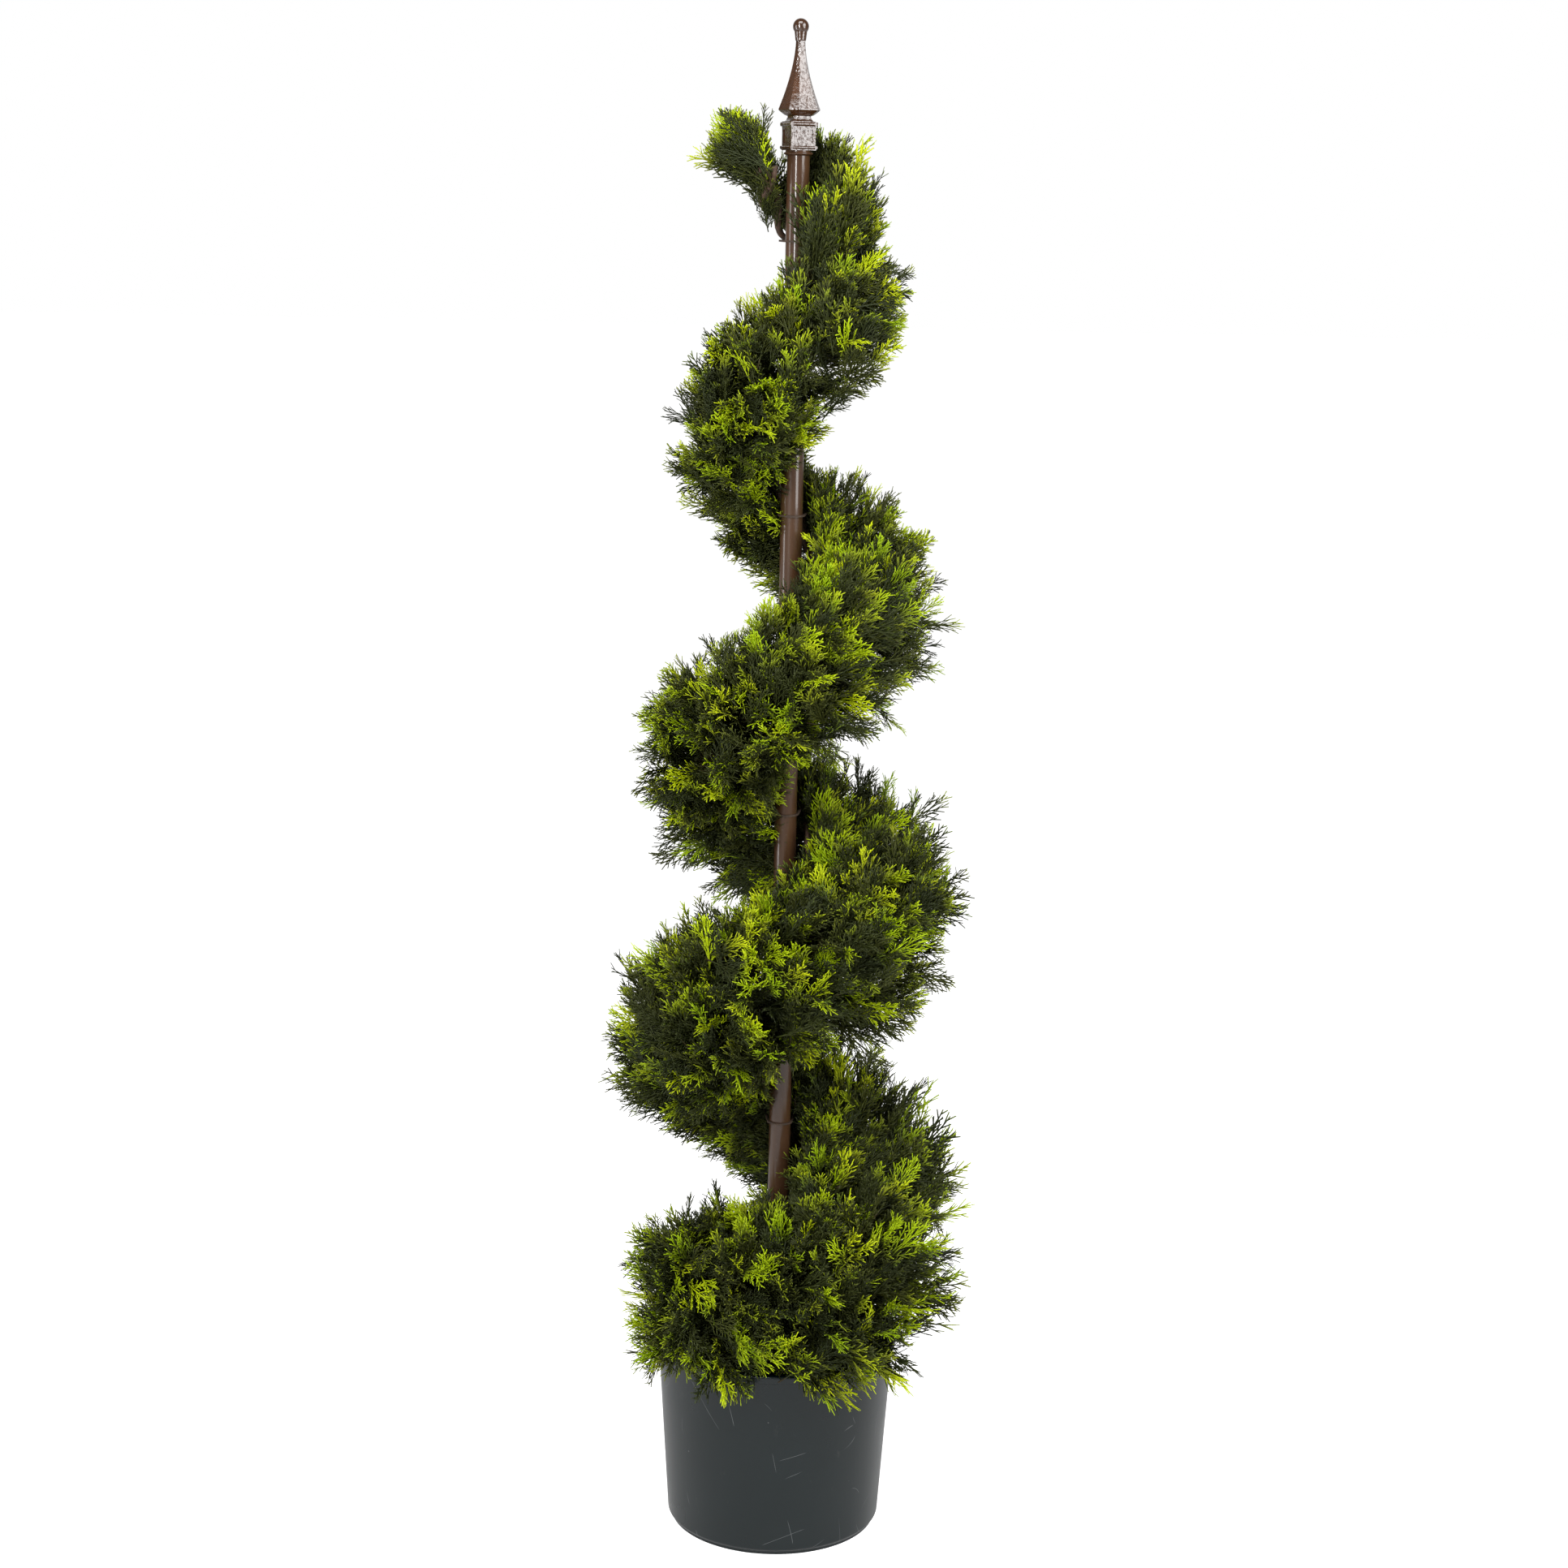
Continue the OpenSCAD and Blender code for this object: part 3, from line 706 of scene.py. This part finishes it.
def end_tuft(rng):
    """Sprays from the spiral's upper end, which fan out sideways and upwards from behind the
    pole, and short ones that hug the ends of the vines and hide them."""
    count = TUFT_SPRAYS
    root = core(rng.uniform(LAST_TURN - 0.13, LAST_TURN, count)) + rng.normal(0, 0.003, (count, 3))
    root[:, 1] -= rng.uniform(0, 0.022, count)
    root[:, 0] += rng.uniform(0, 0.006, count)
    rise = rng.uniform(*TUFT_RISE, count)
    way = np.stack([-np.cos(rise), rng.normal(0.12, 0.15, count), np.sin(rise)], 1)
    room = (SPIRE_Z + 0.008 - root[:, 2]) / np.maximum(way[:, 2], 0.3)
    size = np.minimum(room, TUFT_LENGTH) * rng.uniform(0.75, 1.0, count)
    hugging = rng.uniform(0, 1, count) < 0.5
    u = LAST_TURN - 0.03 - 0.22 * np.sqrt(rng.uniform(0, 1, count))
    near = core(u) + VINE_OFFSET * np.array([-0.8, -1.2, -0.3]) + rng.normal(0, 0.004, (count, 3))
    root = np.where(hugging[:, None], near, root)
    climbing = along(u) + np.array([0.3, 0, 0.6]) + rng.normal(0, 0.2, (count, 3))
    way = np.where(hugging[:, None], climbing, way)
    size = np.where(hugging, rng.uniform(*HUGGING_LENGTHS, count), size)
    tips = root + unit(way) * size[:, None]
    tips[:, 0] = np.where(hugging, tips[:, 0], np.minimum(tips[:, 0], -TUFT_LEAST_X))
    faced = np.array([0.2, -1, 0]) + rng.normal(0, 0.4, (count, 3))
    # a share of 0.6 keeps the hugging sprays' tips mostly green: painted shade, as they sit deep
    # by the core and the pole
    return root, tips, faced, np.where(hugging, 0.6, 1.25)


def grown(pattern, root, tip, faced, scale):
    """A spray pattern placed from its root to its tip, with its flat side facing a way."""
    points, faces, where = pattern
    x = unit(tip - root)
    z = unit(faced - x * (faced @ x))
    return root + (points * scale) @ np.stack([x, np.cross(z, x), z]), faces, where


FINIAL_FROM = POLE_TOP - 0.012
FINIAL_CLEAR = 0.0245  # from the axis, beside the finial
SHIFTS = np.linspace(0, 0.04, 9)   # how far a spray's tip is tried away from the finial


def blocks_finial(p):
    """Whether a spray reaches into the space that the finial turns and lifts in."""
    beside = p[:, 2] > FINIAL_FROM
    return bool((np.hypot(p[beside, 0], p[beside, 1]) < FINIAL_CLEAR).any())


POLE_GAP = 0.0012
RIM_GAP = 0.0025
RIM_ZONE = 0.03       # on either side of the rim
RIM_FALL = 1.6        # how steeply the clear height falls outside the rim
RIM_STACKING = 0.12   # of the points that are lifted, the lowest ends up highest


def kept_clear(p):
    """Pushes points out of the pole, and lifts them over the pot's rim."""
    least = POLE_R + POLE_GAP
    r = np.hypot(p[:, 0], p[:, 1])
    p[:, :2] *= np.maximum(least / np.maximum(r, 1e-6), 1)[:, None]
    r = np.maximum(r, least)
    over = RIM_Z + RIM_GAP - np.clip(r - RIM_R - 0.001, 0, RIM_ZONE) * RIM_FALL
    inside = (p[:, 2] < over) & (r > MOSS_R - RIM_ZONE)
    p[inside, 2] = over[inside] + RIM_STACKING * (over[inside] - p[inside, 2])
    return p


PATTERN_SEED, PLACE_SEED = 11, 29
SIZE_POWER = 0.9      # of the band's section, for the number of sprays in a bunch
FULLEST_BUNCH = 0.66  # the most sprays, as a share of what the widest section would get
SHADES = (1.1, 2.9)   # of the beta distribution that the sprays' shades come from
TUFT_CONTRAST = 0.45  # how much more lime one tuft is than the next


def foliage():
    """The bunches. Each covers an equal part of the spiral's turns, and a wide part of the band
    gets more sprays."""
    material = cypress()
    rng = np.random.default_rng(PATTERN_SEED)
    patterns = [[spray(rng, *shape) for _ in range(SPRAYS_PER_LENGTH)]
                for shape in zip(SPRAY_LENGTHS, SPRAY_WIDTHS, SPRAY_BARE)]
    lengths = np.array(SPRAY_LENGTHS)
    edges = np.linspace(FIRST_TURN, LAST_TURN, BUNCHES + 1)
    middles = (edges[1:] + edges[:-1]) / 2
    span = edges[1] - edges[0]
    reach, up, down = band_size(middles)
    sizes = (reach * (up + down)) ** SIZE_POWER
    sizes = np.minimum(sizes, FULLEST_BUNCH * sizes.max())
    sizes /= sizes.sum()
    rng = np.random.default_rng(PLACE_SEED)
    for i, start in enumerate(edges[:-1]):
        groups = [main_sprays(rng, start, span, round(MAIN_SPRAYS * sizes[i])),
                  draped_sprays(rng, start, span, round(DRAPED_SPRAYS * sizes[i])),
                  crown(rng, start, span)]
        if i >= BUNCHES - TUFTED_BUNCHES:
            groups.append(end_tuft(rng))
        roots, tips, faced, share = (np.concatenate(g) for g in zip(*groups))
        x, y, z = tips.T
        tufts = np.sin(38 * x + 61 * z) + np.sin(57 * y - 83 * z)
        # painted shade: tips inside three quarters of the band's reach, where the band shades
        # itself, get less lime and those inside half of it get none, so they stay green
        shade = rng.beta(*SHADES, len(tips)) * np.clip((share - 0.5) / 0.25, 0, 1)
        # sprays that stand out beyond the band get more lime: partly the tree's own lime tips,
        # partly painted light on the outside of the foliage
        shade *= (1 + TUFT_CONTRAST * tufts) * np.maximum(share, 1)
        shade *= np.interp(middles[i], *LIME_SHARE)
        points, faces, uvs, first = [], [], [], 0
        for k in range(len(tips)):
            away = float(np.linalg.norm(tips[k] - roots[k]))
            which = int(np.abs(lengths - away).argmin())
            pattern = patterns[which][rng.integers(SPRAYS_PER_LENGTH)]
            aside = tips[k] * (1, 1, 0) / np.hypot(*tips[k, :2])
            for shift in SHIFTS:
                p, f, where = grown(pattern, roots[k], tips[k] + shift * aside, faced[k],
                                    away / lengths[which])
                if not blocks_finial(p):
                    break
            else:
                continue
            points.append(p)
            faces.append(f + first)
            first += len(p)
            row = max(0, min(math.floor(shade[k] * VARIANTS), VARIANTS - 1))
            ring = np.tile([0.2, 0.5, 0.8], len(p) // 3)   # a twig's three sides, inside its row
            uvs.append(np.stack([where, (row + ring) / VARIANTS], 1))
        foliage_piece(i, kept_clear(np.vstack(points)), np.vstack(faces), np.vstack(uvs), material)


def foliage_piece(i, points, faces, uvs, material):
    """One bunch as a mesh of triangles, made in bulk because it has very many of them."""
    name = f"cypress_bunch_{i + 1:02d}"
    mesh = bpy.data.meshes.new(name + "_sprays")
    mesh.vertices.add(len(points))
    mesh.vertices.foreach_set("co", points.astype(np.float32).ravel())
    mesh.loops.add(faces.size)
    mesh.loops.foreach_set("vertex_index", faces.astype(np.int32).ravel())
    mesh.polygons.add(len(faces))
    mesh.polygons.foreach_set("loop_start", np.arange(0, faces.size, 3, dtype=np.int32))
    mesh.update(calc_edges=True)
    layer = mesh.uv_layers.new(name=UV_MAP)
    layer.data.foreach_set("uv", uvs[faces.ravel()].astype(np.float32).ravel())
    mesh.shade_smooth()
    mesh.materials.append(material)
    obj = bpy.data.objects.new(name + "_sprays", mesh)
    bpy.context.scene.collection.objects.link(obj)
    stand_for(obj, "cypress_foliage", name)


# ---------------------------------------------------------------- the CAD nodes' finishes

def finish_nodes():
    """Gives each CAD node that stays as it is a material."""
    steel = plain_steel()
    paint = gloss_paint("pole_paint", (0.035, 0.016, 0.008), (0.068, 0.032, 0.014), 0.3)
    cast = hammered_paint()
    looks = {
        "nursery_pot": pot_plastic(), "ballast_block": cement(), "foam_disc": foam(),
        "moss_cover": moss("moss", 1.0), "pole_tube": paint, "finial_collar": paint,
        "anchor_pin": steel, "finial_spigot": steel, "finial_stud": steel,
        "finial_washer": steel, "finial_nut": steel, "finial_block": cast,
        "finial_spire": cast, "finial_ball": cast,
        "tie_wires": bark("tie_wire", (0.018, 0.010, 0.006), (0.045, 0.024, 0.012)),
    }
    for name, material in looks.items():
        for slot in nodes[name].material_slots:
            slot.link = "OBJECT"
            slot.material = material


# ---------------------------------------------------------------- studio

# soft boxes: azimuth from the camera's side (negative is to the left) and elevation in degrees,
# distance, width, height, power in watts, and the height on the pole that each is aimed at
LIGHTS = {
    "key": (-22, 22, 2.6, 0.36, 1.7, 61, 0.76),
    "fill": (-8, 64, 2.6, 1.8, 1.1, 50, 0.9),
    "right": (53, 21, 2.5, 1.25, 2.3, 80, 0.95),
    "left_strip": (-76, 5, 2.0, 0.5, 1.8, 18, 0.8),
}
WORLD_DIM, WORLD_BRIGHT = 0.15, 1.0
WORLD_DIM_TO, WORLD_BRIGHT_FROM = 0.7, 0.92   # share of the way from the front to the back
FLOOR_REACH = 30.0
FLOOR_GLOW, FLOOR_GLOW_SEEN = 0.3, 0.93   # on the object, and as the camera sees it


def area_light(name, azimuth, elevation, distance, width, height, power, target_z):
    a, e = math.radians(azimuth), math.radians(elevation)
    away = Vector((math.sin(a) * math.cos(e), -math.cos(a) * math.cos(e), math.sin(e)))
    data = bpy.data.lights.new(name, "AREA")
    data.shape = "RECTANGLE"
    data.size, data.size_y, data.energy = width, height, power
    obj = bpy.data.objects.new(name, data)
    obj.location = away * distance + Vector((0, 0, target_z))
    obj.rotation_euler = away.to_track_quat("Z", "Y").to_euler()
    bpy.context.scene.collection.objects.link(obj)


def studio():
    """A white surround that is dim in front of the object and bright behind it, a pale floor
    that runs into it, and soft boxes."""
    world = bpy.data.worlds.new("studio")
    world.use_nodes = True
    tree = world.node_tree
    split = tree.nodes.new("ShaderNodeSeparateXYZ")
    tree.links.new(tree.nodes.new("ShaderNodeTexCoord").outputs["Generated"], split.inputs[0])
    shade = tree.nodes.new("ShaderNodeMapRange")
    shade.interpolation_type = "SMOOTHSTEP"
    for key, value in (("From Min", WORLD_DIM_TO), ("From Max", WORLD_BRIGHT_FROM),
                       ("To Min", WORLD_DIM), ("To Max", WORLD_BRIGHT)):
        shade.inputs[key].default_value = value
    tree.links.new(split.outputs["Y"], shade.inputs["Value"])
    seen = tree.nodes.new("ShaderNodeMath")
    seen.operation = "MAXIMUM"
    tree.links.new(tree.nodes.new("ShaderNodeLightPath").outputs["Is Camera Ray"], seen.inputs[0])
    tree.links.new(shade.outputs["Result"], seen.inputs[1])
    background = tree.nodes["Background"]
    background.inputs["Color"].default_value = (1, 1, 1, 1)
    tree.links.new(seen.outputs["Value"], background.inputs["Strength"])
    bpy.context.scene.world = world
    bpy.context.scene.view_settings.view_transform = "Standard"

    s = Shader("studio_floor")
    s.set(Base_Color=(0.5, 0.5, 0.5, 1), Roughness=0.9)
    s.put(s.main, "Specular IOR Level", 0.0)
    s.put(s.main, "Emission Color", (1, 1, 1, 1))
    s.put(s.main, "Emission Strength",
          s.spread(s.node("LightPath").outputs["Is Camera Ray"], 0, 1,
                   FLOOR_GLOW, FLOOR_GLOW_SEEN))
    corners = [(x * FLOOR_REACH, y * FLOOR_REACH, 0)
               for x, y in ((-1, -1), (1, -1), (1, 1), (-1, 1))]
    floor = mesh_object("studio_floor", corners, [(0, 1, 2, 3)], s.material, smooth=False)
    for name, settings in LIGHTS.items():
        area_light(name, *settings)


CAMERA_PLACE = (-0.0023, -2.839, 1.35)
CAMERA_DOWN, CAMERA_ROLL = math.radians(11.35), math.radians(1.10)
LENS_MM, SENSOR_MM = 66.3, 36.0
FAR_CLIP = 100.0


def camera():
    """The camera stands level with the tree's upper part and looks down at its middle."""
    data = bpy.data.cameras.new("camera")
    data.lens = LENS_MM
    data.sensor_width = SENSOR_MM
    data.clip_end = FAR_CLIP
    obj = bpy.data.objects.new("camera", data)
    obj.matrix_world = (Matrix.Translation(CAMERA_PLACE)
                        @ Matrix.Rotation(math.pi / 2 - CAMERA_DOWN, 4, "X")
                        @ Matrix.Rotation(CAMERA_ROLL, 4, "Z"))
    bpy.context.scene.collection.objects.link(obj)
    bpy.context.scene.camera = obj


camera()
studio()
finish_nodes()
spiral_core()
moss_strands()
foliage()
